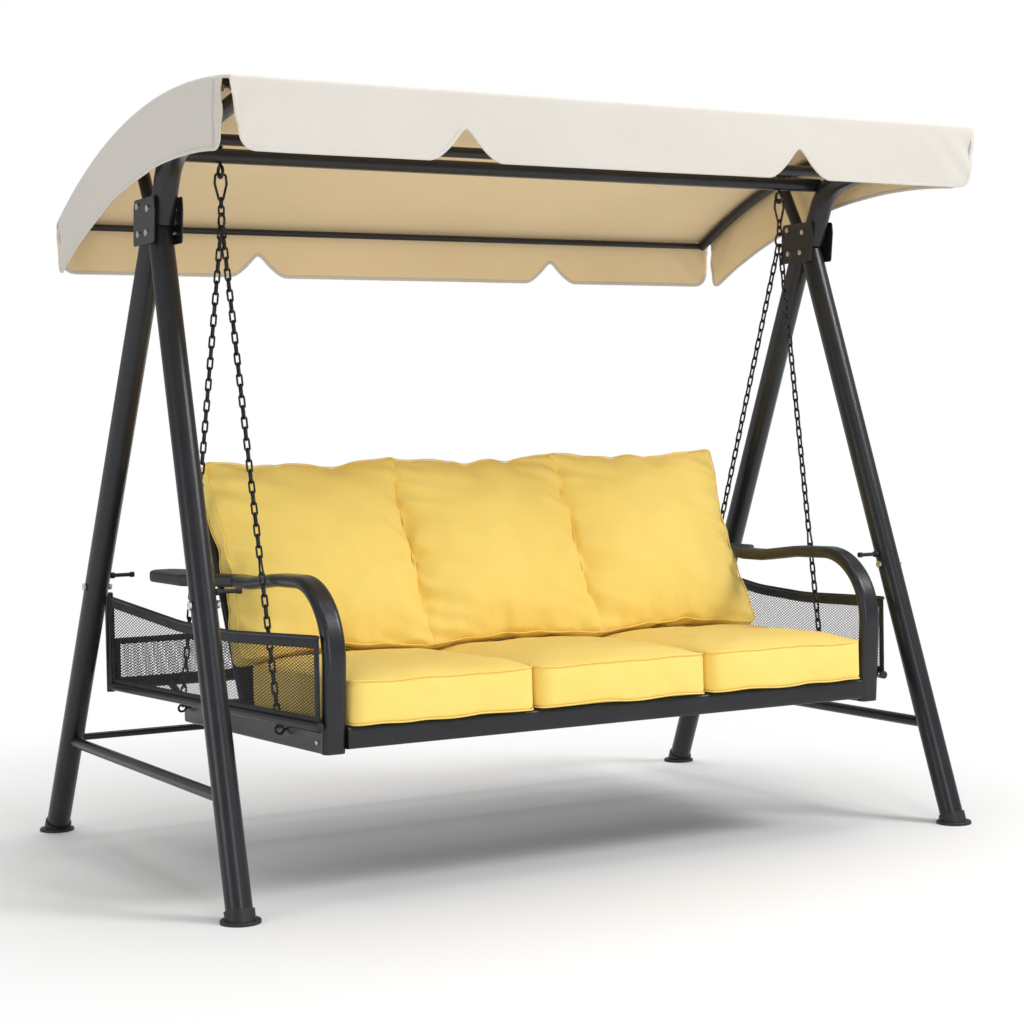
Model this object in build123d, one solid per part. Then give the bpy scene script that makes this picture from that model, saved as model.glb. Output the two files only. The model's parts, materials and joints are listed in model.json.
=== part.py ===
from build123d import *
import math
import os

# Canopy swing bench, in millimetres. +Z is up and the front of the bench faces -Y.
# The origin is on the ground under the middle of the whole bench. "left" is -X and "right" is +X,
# as seen from in front.

# --- driving dimensions -----------------------------------------------------------------------------
# stand
FOOT_X = 1000.0             # leg axis at the ground, to each side
FRAME_TOP_X = 951.5         # A-frame plane at the apex bracket
FOOT_FRONT_Y = -621.0
FOOT_REAR_Y = 661.0
CROSS_Y = -88.0             # where the two leg axes would cross
CROSS_Z = 1577.0
LEG_R = 30.0
TUBE_WALL = 2.0
LEG_CUT_Z = 1548.0          # top of the legs, inside the bracket
MITRE_Y = -83.0             # plane between the two leg tops
FLANGE_R = 45.0
FLANGE_T = 8.0
STRETCHER_Z = 254.0
STRETCHER_R = 14.0
CROSS_BAR_Z = 262.0
CROSS_BAR_R = 9.0
LEG_BOLT_Z = 670.0
BUMPER_Z = 697.0
BUMPER_TIP_X = 885.0
BUMPER_R = 5.0
LEG_BOLT_R = 5.0

# apex bracket
PLATE_T = 3.0
PLATE_GAP = 66.0            # between the two plates
PLATE_LOW_Z = 1498.0
PLATE_TOP_Z = 1606.0
BRACKET_BOLT_R = 4.0
# y, z of each bracket bolt: front leg, rear leg, curved arm, rear strut
BRACKET_BOLTS = ((-110.0, 1524.0), (-56.0, 1524.0), (-121.0, 1579.0), (-53.0, 1590.0))

# canopy frame
ARM_BASE = (-112.0, 1552.0)     # y, z along the curved arm's axis
ARM_CORNER = (-181.0, 1703.0)
ARM_END = (-345.0, 1729.0)
ARM_TIP_REACH = 2.88        # length of arm and tip together, in lengths of the arm's last run
ARM_BEND_R = 130.0
RAIL_BOLTS = ((-640.0, 1782.0), (30.0, 1744.0))     # y, z of the bolts through the side rail
ARM_TIP_R = 19.0
STRUT_BASE = (-62.0, 1572.0)
STRUT_END = (36.0, 1744.0)
STRUT_R = 16.0
STRUT_X = FRAME_TOP_X + 3.0
BEAM_Y = -146.0
BEAM_Z = 1706.0
BEAM_R = 18.0
RAIL_X = 985.0
RAIL_R = 13.5
BAR_R = 8.5
MID_BAR_Y = -390.0
MID_BAR_Z = 1709.0
MID_BAR_R = 13.0

# canopy cloth
CLOTH_T = 3.0
CLOTH_X = 1016.0            # outer face of the side valances
CLOTH_FRONT_Y = -706.0
CLOTH_REAR_Y = 484.0
ARC_R = 1920.0              # outer face of the arched top
ARC_Y = -410.0              # crest of the arch
ARC_TOP_Z = 1824.0
FRONT_DROP_Z = 1643.0       # lower edge of the front valance
REAR_DROP_Z = 1470.0
SIDE_DROP = 160.0           # height of the side valances
NOTCH_X = 458.0

# hanging chains
HOOK_X = 815.0
EYE_R = 14.0
EYE_WIRE = 4.0
TOP_WIRE = 3.0
LINK_WIRE = 2.5
LINK_GAP = 0.3              # play left between one link and the next
TOP_LINK_LONG = 60.0
SMALL_LINK_LONG = 24.0
RING_R = 18.0
RING_WIRE = 3.0
CHAIN_LINKS = 46
DELTA_AT = 31               # which link of each chain is the delta connector
DELTA_LONG = 44.0
DELTA_WIDE = 20.0
LINK_WIDE = 12.2            # across the wire's centre line
LUG_X = 786.0
LUG_FRONT_Y = -355.0
LUG_REAR_Y = 268.0
LUG_R = 10.0
LUG_WIRE = 3.0
LUG_RISE = 14.0             # above the side rail's axis

# seat frame
SEAT_FRONT_Y = -577.0
SEAT_RAIL_X = 755.0
SIDE_RAIL_W = 30.0
SIDE_RAIL_H = 52.0
SIDE_RAIL_FRONT = (-557.0, 360.0)   # y, z of the side rail's axis
SIDE_RAIL_REAR = (300.0, 338.0)
FRONT_RAIL_Z = 371.0
FRONT_RAIL_W = 40.0
FRONT_RAIL_H = 50.0
ARM_X = 752.0
ARM_W = 56.0
ARM_T = 30.0
ARM_FRONT_BEND_R = 165.0
REAR_RAIL_Y = 278.0
REAR_RAIL_R = 15.0
SLAT_YS = (-370.0, -170.0)
BACK_BASE_Y = 50.0
BACK_TOP = (300.0, 896.0)
BACK_HALF_W = 700.0
BACK_TUBE_R = 12.5
CORNER_X = 915.0
CORNER_Y = 440.0
POST_R = 11.0               # corner posts
POST_LOW_Z = 388.0
POST_TOP_Z = 646.0
PANEL_FRONT_X = 793.0
PANEL_FRONT_Y = -598.0
PANEL_RAIL_Z = 402.0
PANEL_RAIL_R = 10.0
PANEL_ROD_R = 4.0
PANEL_ROD_ZS = (600.0, 586.0, 592.0, 632.0)     # height of the panel's top rod from front to rear
PANEL_ROD_AT = (0.0, 0.38, 0.62, 1.0)           # and where along the panel each height is
REAR_PANEL_TOP_Z = 522.0
MESH_T = 2.0

# cushions
SEAT_PAD_XS = (-481.0, 0.0, 481.0)
SEAT_PAD_W = 479.0
SEAT_PAD_D = 612.0
SEAT_PAD_H = 108.0
BACK_PAD_XS = (-491.0, 0.0, 491.0)
BACK_PAD_W = 486.0

CLEAR = 0.3                 # play round anything that is pushed through or over another piece
SIDES = {"left": -1, "right": 1}


# --- small helpers ----------------------------------------------------------------------------------
def save(node, *solids):
    """Write one sub-part, whether it is one solid or a group of separate ones."""
    pieces = [solid for shape in solids for solid in shape.solids()]
    export_step(pieces[0] if len(pieces) == 1 else Compound(children=pieces), f"parts/{node}.step")


def ring(radius, wall=TUBE_WALL):
    return Circle(radius) - Circle(radius - wall)


def straight(start, end, section, across=(1, 0, 0)):
    """A section drawn out from one point to another."""
    line = Vector(*end) - Vector(*start)
    return extrude(Plane(origin=start, x_dir=across, z_dir=line) * section, amount=line.length)


def rod(start, end, radius):
    line = Vector(*end) - Vector(*start)
    return extrude(Plane(origin=start, z_dir=line) * Circle(radius), amount=line.length)


def tube(start, end, radius, wall=TUBE_WALL):
    line = Vector(*end) - Vector(*start)
    return extrude(Plane(origin=start, z_dir=line) * ring(radius, wall), amount=line.length)


def bent(path, section, across=(1, 0, 0)):
    """A section swept along a path, square to it."""
    return sweep(Plane(origin=path @ 0, x_dir=across, z_dir=path % 0) * section, path=path)


def block(low, high):
    size = [b - a for a, b in zip(low, high)]
    middle = [(a + b) / 2 for a, b in zip(low, high)]
    return Pos(*middle) * Box(*size)


def along(start, end, share):
    return tuple(a + (b - a) * share for a, b in zip(start, end))


def on_side(shape, side):
    """The right-hand piece, or its mirror image on the left."""
    return shape if side > 0 else mirror(shape, Plane.YZ)


def through_x(y, z, radius, low=0.0, high=1200.0):
    return rod((low, y, z), (high, y, z), radius)


def hex_bolt(y, z, inner_x, outer_x, radius=4.0):
    """A bolt along X: button head outside, hexagon nut inside."""
    shank = rod((inner_x - 8, y, z), (outer_x, y, z), radius)
    head = rod((outer_x, y, z), (outer_x + 4, y, z), radius * 2.0)
    nut_at = Plane(origin=(inner_x - 6, y, z), z_dir=(1, 0, 0))
    nut = extrude(nut_at * RegularPolygon(radius * 1.9, 6), amount=6)
    return shank + head + nut


# --- stand ------------------------------------------------------------------------------------------
def leg_point(foot_y, z):
    """A point on a leg's axis on the right-hand A-frame."""
    share = z / CROSS_Z
    return (FOOT_X + (FRAME_TOP_X - FOOT_X) * share, foot_y + (CROSS_Y - foot_y) * share, z)


def leg_holes(foot_y):
    return through_x(leg_point(foot_y, LEG_BOLT_Z)[1], LEG_BOLT_Z, LEG_BOLT_R + CLEAR)


def leg(foot_y):
    """Straight round tube, cut flat at the foot and mitred against its partner at the top."""
    front = foot_y < MITRE_Y
    piece = tube(leg_point(foot_y, -40), leg_point(foot_y, LEG_CUT_Z + 60), LEG_R)
    keep_y = (-2000, MITRE_Y - CLEAR) if front else (MITRE_Y + CLEAR, 2000)
    piece = piece & block((0, keep_y[0], FLANGE_T + CLEAR), (2000, keep_y[1], LEG_CUT_Z))
    bolt_y, bolt_z = BRACKET_BOLTS[0] if front else BRACKET_BOLTS[1]
    piece = piece - through_x(bolt_y, bolt_z, BRACKET_BOLT_R + CLEAR) - leg_holes(foot_y)
    x, y, z = leg_point(foot_y, BUMPER_Z)
    return piece - rod((BUMPER_TIP_X, y, z), (x, y, z), BUMPER_R + CLEAR)


def foot_cap(foot_y):
    """Round flanged cap that the leg stands in."""
    low = leg_point(foot_y, 0)
    flange = Pos(low[0], low[1], FLANGE_T / 2) * Cylinder(FLANGE_R, FLANGE_T)
    flange = fillet(flange.edges().group_by(Axis.Z)[-1], 3)
    collar = rod(leg_point(foot_y, -20), leg_point(foot_y, 26), LEG_R + 4)
    bore = rod(leg_point(foot_y, -60), leg_point(foot_y, 60), LEG_R + CLEAR)
    collar = (collar - bore) & block((0, -2000, FLANGE_T), (2000, 2000, 60))
    return flange + collar


def bracket_plate(x):
    """Pressed plate that ties the legs, the curved arm and the rear strut together."""
    low, top = PLATE_LOW_Z, PLATE_TOP_Z
    corners = ((-152, low), (-16, low), (-22, top - 22), (-30, top), (-158, top), (-161, top - 30))
    outline = Polyline(*corners, close=True)
    face = fillet(make_face(outline).vertices(), 7)
    plate = extrude(Plane(origin=(x, 0, 0), x_dir=(0, 1, 0), z_dir=(1, 0, 0)) * face, amount=PLATE_T)
    for y, z in BRACKET_BOLTS:
        plate -= through_x(y, z, BRACKET_BOLT_R + CLEAR)
    return plate


def bracket_bolts():
    inner = FRAME_TOP_X - PLATE_GAP / 2 - PLATE_T - CLEAR
    outer = FRAME_TOP_X + PLATE_GAP / 2 + PLATE_T + CLEAR
    return [hex_bolt(y, z, inner, outer, BRACKET_BOLT_R) for y, z in BRACKET_BOLTS]


def leg_bolts():
    bolts = []
    for foot_y in (FOOT_FRONT_Y, FOOT_REAR_Y):
        x, y, z = leg_point(foot_y, LEG_BOLT_Z)
        bolts.append(hex_bolt(y, z, x - LEG_R - 1.5, x + LEG_R + 1.5, LEG_BOLT_R))
    return bolts


def bumper_rods():
    """Short rods on the insides of the legs that keep the seat from swaying into them."""
    rods = []
    for foot_y in (FOOT_FRONT_Y, FOOT_REAR_Y):
        x, y, z = leg_point(foot_y, BUMPER_Z)
        pin = rod((BUMPER_TIP_X, y, z), (x - 8, y, z), BUMPER_R)
        collar = rod((x - LEG_R - 12, y, z), (x - LEG_R - 2, y, z), 8)
        tip = rod((BUMPER_TIP_X, y, z), (BUMPER_TIP_X + 10, y, z), 7)
        rods.append(pin + collar + tip)
    return rods


def side_stretcher():
    piece = tube(leg_point(FOOT_FRONT_Y, STRETCHER_Z), leg_point(FOOT_REAR_Y, STRETCHER_Z), STRETCHER_R)
    for foot_y in (FOOT_FRONT_Y, FOOT_REAR_Y):
        piece -= rod(leg_point(foot_y, 100), leg_point(foot_y, 400), LEG_R + CLEAR / 2)
    return max(piece.solids(), key=lambda solid: solid.volume)


def rear_cross_bar():
    x, y, z = leg_point(FOOT_REAR_Y, CROSS_BAR_Z)
    piece = tube((-x, y, z), (x, y, z), CROSS_BAR_R)
    for side in SIDES.values():
        rear_leg = rod(leg_point(FOOT_REAR_Y, 100), leg_point(FOOT_REAR_Y, 400), LEG_R + CLEAR / 2)
        ends = (leg_point(FOOT_FRONT_Y, STRETCHER_Z), leg_point(FOOT_REAR_Y, STRETCHER_Z))
        piece -= on_side(rear_leg, side)
        piece -= on_side(rod(*ends, STRETCHER_R + CLEAR / 2), side)
    return max(piece.solids(), key=lambda solid: solid.volume)


# --- canopy frame -----------------------------------------------------------------------------------
def arc_z(y, depth=0.0):
    """Height of the arched top at a given y, a given depth under its outer face."""
    radius = ARC_R - depth
    return ARC_TOP_Z - ARC_R + math.sqrt(radius**2 - (y - ARC_Y)**2)


def arc_path(depth, y_front, y_rear, x=0.0):
    """The canopy's arch as a circular arc in a plane of constant x."""
    y_middle = (y_front + y_rear) / 2
    points = [(x, y, arc_z(y, depth)) for y in (y_front, y_middle, y_rear)]
    return ThreePointArc(*points)


ARM_TIP_END = along(ARM_CORNER, ARM_END, ARM_TIP_REACH)
RAIL_DEPTH = CLOTH_T + 2.0 + RAIL_R
FRONT_BAR_Y = CLOTH_FRONT_Y + CLOTH_T + 3 + BAR_R
REAR_BAR_Y = CLOTH_REAR_Y - CLOTH_T - 3 - BAR_R


def canopy_arm():
    """Curved tube that carries on from the rear leg's line and bends forward under the canopy."""
    x = FRAME_TOP_X
    path = FilletPolyline((x, *ARM_BASE), (x, *ARM_CORNER), (x, *ARM_END), radius=ARM_BEND_R)
    arm = bent(path, ring(LEG_R))
    bolt_y, bolt_z = BRACKET_BOLTS[2]
    arm -= through_x(bolt_y, bolt_z, BRACKET_BOLT_R + CLEAR)
    return arm - rod((0, BEAM_Y, BEAM_Z), (FRAME_TOP_X + 2, BEAM_Y, BEAM_Z), BEAM_R + CLEAR / 2)


def canopy_arm_tip():
    """Thinner tube that runs on from the curved arm to the front of the side rail."""
    x = FRAME_TOP_X
    start = along(ARM_CORNER, ARM_END, 0.55)
    tip = tube((x, *start), (x, *ARM_TIP_END), ARM_TIP_R)
    return tip - through_x(*RAIL_BOLTS[0], 4 + CLEAR)


def arm_bushing():
    """Ring that fills the step between the curved arm and its tip."""
    x = FRAME_TOP_X
    start = along(ARM_CORNER, ARM_END, 0.75)
    line = Vector(x, *ARM_END) - Vector(x, *start)
    lip_end = Vector(x, *ARM_END) + line.normalized() * 4
    gap = Vector(x, *ARM_END) + line.normalized() * CLEAR
    outer_r = LEG_R - TUBE_WALL - CLEAR
    bore_r = ARM_TIP_R + CLEAR
    sleeve = tube((x, *start), tuple(lip_end), outer_r, outer_r - bore_r)
    lip = tube(tuple(gap), tuple(lip_end), LEG_R - 1, LEG_R - 1 - bore_r)
    return sleeve + lip


def rear_strut():
    """Thin tube from the bracket up and back to the side rail."""
    strut = tube((STRUT_X, *STRUT_BASE), (STRUT_X, *STRUT_END), STRUT_R)
    for y, z in (BRACKET_BOLTS[3], RAIL_BOLTS[1]):
        strut -= through_x(y, z, BRACKET_BOLT_R + CLEAR)
    return strut


def arched(section, y_front, y_rear):
    """A section turned about the centre of the canopy's arch, under its side edge."""
    radius = ARC_R - RAIL_DEPTH
    start, end = [math.asin((y - ARC_Y) / radius) for y in (y_front, y_rear)]
    tangent = (0, math.cos(start), -math.sin(start))
    inward = (0, -math.sin(start), -math.cos(start))
    plane = Plane(origin=(RAIL_X, y_front, arc_z(y_front, RAIL_DEPTH)), x_dir=inward, z_dir=tangent)
    axis = Axis((0, ARC_Y, ARC_TOP_Z - ARC_R), (-1, 0, 0))
    return revolve(plane * section, axis=axis, revolution_arc=math.degrees(end - start))


def side_rail():
    """Arched tube under each side edge of the cloth."""
    rail = arched(ring(RAIL_R), FRONT_BAR_Y - 2, REAR_BAR_Y + 2)
    for y, z in RAIL_BOLTS:
        rail -= through_x(y, z, 4 + CLEAR)
    return rail


def rail_bolts():
    """Bolts that hold the side rail to the arm's tip and to the rear strut."""
    inners = (FRAME_TOP_X - ARM_TIP_R - 1, STRUT_X - STRUT_R - 1)
    return [hex_bolt(y, z, inner, RAIL_X + RAIL_R + 1, 4.0 if y < 0 else 3.7)
            for (y, z), inner in zip(RAIL_BOLTS, inners)]


def end_bar(y):
    """Bar across the front or rear of the canopy between the side rails, coped to them."""
    z = arc_z(y, RAIL_DEPTH)
    bar = tube((-RAIL_X, y, z), (RAIL_X, y, z), BAR_R)
    rail = arched(Circle(RAIL_R + CLEAR / 2), FRONT_BAR_Y - 20, REAR_BAR_Y + 20)
    for side in SIDES.values():
        bar -= on_side(rail, side)
    return max(bar.solids(), key=lambda solid: solid.volume)


def mid_bar():
    """Bar that joins the two arm tips from below."""
    x = FRAME_TOP_X
    bar = tube((-x - 14, MID_BAR_Y, MID_BAR_Z), (x + 14, MID_BAR_Y, MID_BAR_Z), MID_BAR_R)
    for side in SIDES.values():
        start = along(ARM_CORNER, ARM_END, 0.5)
        bar -= on_side(rod((x, *start), (x, *ARM_TIP_END), ARM_TIP_R + CLEAR / 2), side)
    return max(bar.solids(), key=lambda solid: solid.volume)


def main_beam():
    """Heavy tube between the curved arms, with a flat on top and holes for the hanger eyes."""
    beam = tube((-FRAME_TOP_X, BEAM_Y, BEAM_Z), (FRAME_TOP_X, BEAM_Y, BEAM_Z), BEAM_R, 2.5)
    for side in SIDES.values():
        beam -= Pos(side * HOOK_X, BEAM_Y, BEAM_Z) * Cylinder(EYE_WIRE + CLEAR, 80)
    return beam


def hanger_eye():
    """Eye bolt through the beam, with a nut on top."""
    eye = Pos(HOOK_X, BEAM_Y, EYE_Z) * Rot(0, 90, 0) * Torus(EYE_R, EYE_WIRE)
    shank = rod((HOOK_X, BEAM_Y, EYE_Z + EYE_R), (HOOK_X, BEAM_Y, BEAM_Z + BEAM_R + 10), EYE_WIRE)
    nut_at = Plane(origin=(HOOK_X, BEAM_Y, BEAM_Z + BEAM_R + 1))
    nut = extrude(nut_at * RegularPolygon(8, 6), amount=7)
    return eye + shank + nut


# --- canopy cloth -----------------------------------------------------------------------------------
def canopy_top():
    """Arched sheet over the rails."""
    y_front, y_rear = CLOTH_FRONT_Y, CLOTH_REAR_Y
    outer = arc_path(0, y_front, y_rear)
    inner = arc_path(CLOTH_T, y_front, y_rear)
    ends = [Line(outer @ end, inner @ end) for end in (0, 1)]
    face = make_face([outer, inner, *ends])
    return extrude(face, amount=CLOTH_X, dir=(1, 0, 0), both=True)


def scalloped(top_z, low_z, half_width, notch_x, notch_half, notch_z, y_low, y_high):
    """Straight valance with two notches and rounded lower corners."""
    sheet = block((-half_width, y_low, low_z), (half_width, y_high, top_z))
    sheet = fillet(sheet.edges().filter_by(Axis.Y).group_by(Axis.Z)[0], 45)
    plane = Plane(origin=(0, y_low - 5, 0), x_dir=(1, 0, 0), z_dir=(0, -1, 0))
    for x in (-notch_x, notch_x):
        left, right, under = x - notch_half, x + notch_half, low_z - 40
        rise = ((left, low_z), (x - 12, notch_z), (x + 12, notch_z), (right, low_z))
        face = make_face(Polyline(*rise, (right, under), (left, under), close=True))
        tops = face.vertices().group_by(Axis.Y)[-1]
        face = fillet(tops, 10)
        sheet -= extrude(plane * face, amount=-60)
    corners = sheet.edges().filter_by(Axis.Y).group_by(Axis.Z)[0]
    sharp = [edge for edge in corners if abs(abs(edge.center().X) - notch_x) < notch_half + 1]
    return fillet(sharp, 30)


def side_valance():
    """Valance that follows the arch, with its lower corners rounded."""
    y_front, y_rear = CLOTH_FRONT_Y + 26, CLOTH_REAR_Y - 14
    top = arc_path(CLOTH_T + CLEAR, y_front, y_rear)
    low = arc_path(SIDE_DROP, y_front + 22, y_rear - 8)
    ends = [Line(top @ end, low @ end) for end in (0, 1)]
    face = make_face([top, low, *ends])
    lower = [min(face.vertices(), key=lambda v: (v.center() - (low @ end)).length) for end in (0, 1)]
    face = fillet(lower, 38)
    sheet = extrude(face, amount=CLOTH_T, dir=(1, 0, 0))
    return Pos(CLOTH_X - CLOTH_T, 0, 0) * sheet


# --- chains -----------------------------------------------------------------------------------------
def loop(centre, axis, across, long_mid, wide_mid, wire):
    """One welded link: a round wire bent to a stadium. The lengths are of the wire's centre line."""
    plane = Plane(origin=centre, x_dir=axis, z_dir=Vector(*across).cross(Vector(*axis)))
    half = long_mid / 2 - wide_mid / 2
    radius = wide_mid / 2
    outline = Wire([
        Edge.make_line((-half, radius), (half, radius)),
        Edge.make_three_point_arc((half, radius), (half + radius, 0), (half, -radius)),
        Edge.make_line((half, -radius), (-half, -radius)),
        Edge.make_three_point_arc((-half, -radius), (-half - radius, 0), (-half, radius)),
    ])
    section = Plane(origin=(0, radius, 0), z_dir=(1, 0, 0)) * Circle(wire)
    return plane * sweep(section, path=outline)


def delta(centre, axis, across, long_mid, wide_mid, wire):
    """Delta-shaped connector: narrow at the top, straight across at the bottom."""
    plane = Plane(origin=centre, x_dir=axis, z_dir=Vector(*across).cross(Vector(*axis)))
    half = long_mid / 2
    corners = ((-half, 4.5), (half, wide_mid / 2), (half, -wide_mid / 2), (-half, -4.5))
    outline = Polyline(*corners, close=True)
    path = fillet(make_face(outline).vertices(), 4.3).wire()
    section = Plane(origin=path @ 0, z_dir=path % 0) * Circle(wire)
    return plane * sweep(section, path=path)


EYE_Z = BEAM_Z - BEAM_R - EYE_R - EYE_WIRE - 1
PIVOT_Z = EYE_Z - EYE_R + EYE_WIRE + TOP_WIRE + LINK_GAP


def top_link():
    """Teardrop link whose straight top bar turns in the hanger eye."""
    corners = ((-13, 0), (13, 0), (15, -22), (5, -TOP_LINK_LONG), (-5, -TOP_LINK_LONG), (-15, -22))
    outline = fillet(make_face(Polyline(*corners, close=True)).vertices(), 4.2)
    path = outline.wire()
    section = Plane(origin=path @ 0, z_dir=path % 0) * Circle(TOP_WIRE)
    plane = Plane(origin=(HOOK_X, BEAM_Y, PIVOT_Z), x_dir=(1, 0, 0), z_dir=(0, -1, 0))
    return plane * sweep(section, path=path)


def joining_links():
    """Two small links, turned a quarter from each other, between the top link and the ring."""
    links = []
    top = PIVOT_Z - TOP_LINK_LONG + TOP_WIRE + LINK_WIRE + LINK_GAP
    for across in ((0, 1, 0), (1, 0, 0)):
        centre = (HOOK_X, BEAM_Y, top - SMALL_LINK_LONG / 2)
        links.append(loop(centre, (0, 0, -1), across, SMALL_LINK_LONG, 13, LINK_WIRE))
        low = top - SMALL_LINK_LONG
        top = low + 2 * LINK_WIRE + LINK_GAP
    return links, low


def ring_centre():
    low = joining_links()[1]
    return (HOOK_X, BEAM_Y, low + LINK_WIRE + RING_WIRE + LINK_GAP - RING_R)


def junction_ring():
    return Pos(*ring_centre()) * Rot(0, 90, 0) * Torus(RING_R, RING_WIRE)


def rail_axis_z(y):
    share = (y - SIDE_RAIL_FRONT[0]) / (SIDE_RAIL_REAR[0] - SIDE_RAIL_FRONT[0])
    return SIDE_RAIL_FRONT[1] + (SIDE_RAIL_REAR[1] - SIDE_RAIL_FRONT[1]) * share


def lug_centre(lug_y):
    return (LUG_X, lug_y, rail_axis_z(lug_y) + LUG_RISE)


def chain(lug_y):
    """Links from the ring down to the lug on the seat's side rail, with one delta connector among them."""
    start, end = Vector(*ring_centre()), Vector(*lug_centre(lug_y))
    axis = (end - start).normalized()
    first = RING_R - RING_WIRE - LINK_WIRE - LINK_GAP
    last = (end - start).length - (LUG_R - LUG_WIRE - LINK_WIRE - LINK_GAP)
    overlap = 2 * LINK_WIRE + LINK_GAP
    plain_long = (last - first + overlap * (CHAIN_LINKS - 1) - DELTA_LONG) / (CHAIN_LINKS - 1)
    across_x = (Vector(1, 0, 0) - axis * axis.X).normalized()
    across_y = axis.cross(across_x)
    links = []
    top = first
    for index in range(CHAIN_LINKS):
        long_mid = DELTA_LONG if index == DELTA_AT else plain_long
        centre = start + axis * (top + long_mid / 2)
        across = across_x if index % 2 == 0 else across_y
        make = delta if index == DELTA_AT else loop
        wide = DELTA_WIDE if index == DELTA_AT else LINK_WIDE
        links.append(make(tuple(centre), tuple(axis), tuple(across), long_mid, wide, LINK_WIRE))
        top += long_mid - overlap
    return links


def chain_lug(lug_y):
    """Eye bolt in the side rail's outer face."""
    x, y, z = lug_centre(lug_y)
    axis = (Vector(x, y, z) - Vector(*ring_centre())).normalized()
    plane = Plane(origin=(x, y, z), x_dir=(1, 0, 0), z_dir=axis.cross(Vector(1, 0, 0)))
    eye = plane * Torus(LUG_R, LUG_WIRE)
    shank = rod((SEAT_RAIL_X - SIDE_RAIL_W / 2 + 4, y, z), (x - LUG_R, y, z), LUG_WIRE)
    return eye + shank


# --- seat frame -------------------------------------------------------------------------------------
def rivets():
    """Dome-headed rivets that hold the front post, the side rail and the panel's rail together."""
    rail_face = SEAT_RAIL_X + SIDE_RAIL_W / 2
    post_face = ARM_X + ARM_W / 2
    lower = rod((rail_face + CLEAR, -528, 358), (rail_face + 3, -528, 358), 6)
    spacer_end = PANEL_FRONT_X - PANEL_RAIL_R
    spacer = rod((post_face + CLEAR, -584, PANEL_RAIL_Z), (spacer_end, -584, PANEL_RAIL_Z), 5)
    return [fillet(lower.edges().group_by(Axis.X)[-1], 2.4), spacer]


def front_rail():
    """Rounded box tube between the two front posts, closed at its ends."""
    wall = 2 * TUBE_WALL
    half = ARM_X - ARM_W / 2 - CLEAR
    ends = [(x, SEAT_FRONT_Y, FRONT_RAIL_Z) for x in (-half, half)]
    inner_ends = [(x, SEAT_FRONT_Y, FRONT_RAIL_Z) for x in (3 - half, half - 3)]
    inner = straight(*inner_ends, RectangleRounded(FRONT_RAIL_W - wall, FRONT_RAIL_H - wall, 7), (0, 1, 0))
    return straight(*ends, RectangleRounded(FRONT_RAIL_W, FRONT_RAIL_H, 9), (0, 1, 0)) - inner


def seat_side_rail():
    """Deep tube under each side of the seat, closed with a rounded end at the rear."""
    start, end = (SEAT_RAIL_X, *SIDE_RAIL_FRONT), (SEAT_RAIL_X, *SIDE_RAIL_REAR)
    outer = straight(start, end, RectangleRounded(SIDE_RAIL_W, SIDE_RAIL_H, 6))
    rear = outer.faces().sort_by(Axis.Y)[-1]
    outer = fillet(rear.edges(), 5.5)
    inner_end = along(start, end, 0.98)
    inner = straight(start, inner_end, RectangleRounded(SIDE_RAIL_W - 4, SIDE_RAIL_H - 4, 4))
    rail = outer - inner
    for lug_y in (LUG_FRONT_Y, LUG_REAR_Y):
        x, y, z = lug_centre(lug_y)
        rail -= rod((SEAT_RAIL_X, y, z), (x, y, z), LUG_WIRE + CLEAR)
    return rail


def round_tube_z(y, radius):
    """Height of a cross tube's axis, with its top just under the side rails' top."""
    return rail_axis_z(y) + SIDE_RAIL_H / 2 - radius - 1


def round_cross_tube(y, radius):
    """Tube between the two side rails."""
    half = SEAT_RAIL_X - SIDE_RAIL_W / 2 - CLEAR
    z = round_tube_z(y, radius)
    return tube((-half, y, z), (half, y, z), radius)


def arm_path():
    x = ARM_X
    points = ((x, -575, 342), (x, -602, 716), (x, -300, 710), (x, -150, 694), (x, -62, 694))
    return FilletPolyline(*points, radius=[ARM_FRONT_BEND_R, 300, 260])


def arm():
    """Flat-oval tube: front post, bend and armrest in one piece."""
    section = SlotOverall(ARM_W, ARM_T) - SlotOverall(ARM_W - 4, ARM_T - 4)
    return bent(arm_path(), section)


def post_plug():
    """Plastic plug in the lower end of each front post."""
    path = arm_path()
    low = Plane(origin=path @ 0, x_dir=(1, 0, 0), z_dir=(path % 0))
    cap = extrude(low * SlotOverall(ARM_W - 1, ARM_T - 1), amount=-4)
    core = extrude(low * SlotOverall(ARM_W - 4 - 2 * CLEAR, ARM_T - 4 - 2 * CLEAR), amount=18)
    return Pos(0, 0, -CLEAR) * cap + Pos(0, 0, -CLEAR) * core


def arm_pad():
    """Leaf-shaped flat rest behind the armrest, pierced for the rear chain."""
    inner_edge = ((792, 300), (768, 250), (768, 40), (728, -61.5))
    outer_edge = ((776, -61.5), (866, 60), (868, 262), (846, 300))
    face = make_face(Polyline(*inner_edge, *outer_edge, close=True))
    rounded = [v for v in face.vertices() if v.Y > 0]
    face = fillet(rounded, 22)
    pad = extrude(Plane(origin=(0, 0, 680)) * face, amount=29)
    pad = fillet(pad.edges().group_by(Axis.Z)[-1] + pad.edges().group_by(Axis.Z)[0], 8)
    start, end = Vector(*ring_centre()), Vector(*lug_centre(LUG_REAR_Y))
    axis = (end - start).normalized()
    middle = start + axis * ((start.Z - 694) / -axis.Z)
    return pad - rod(tuple(middle - axis * 60), tuple(middle + axis * 60), 17)


def pad_support():
    """Slanted tube that carries the arm pad on the side rail."""
    support = tube((SEAT_RAIL_X, 85, 350), (797, 85, 700), 9)
    return support & block((0, 0, rail_axis_z(85) + SIDE_RAIL_H / 2 + 0.6), (2000, 200, 680 - CLEAR))


def panel_point(share, z):
    x = PANEL_FRONT_X + (CORNER_X - PANEL_FRONT_X) * share
    y = PANEL_FRONT_Y + (CORNER_Y - PANEL_FRONT_Y) * share
    return (x, y, z)


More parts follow.
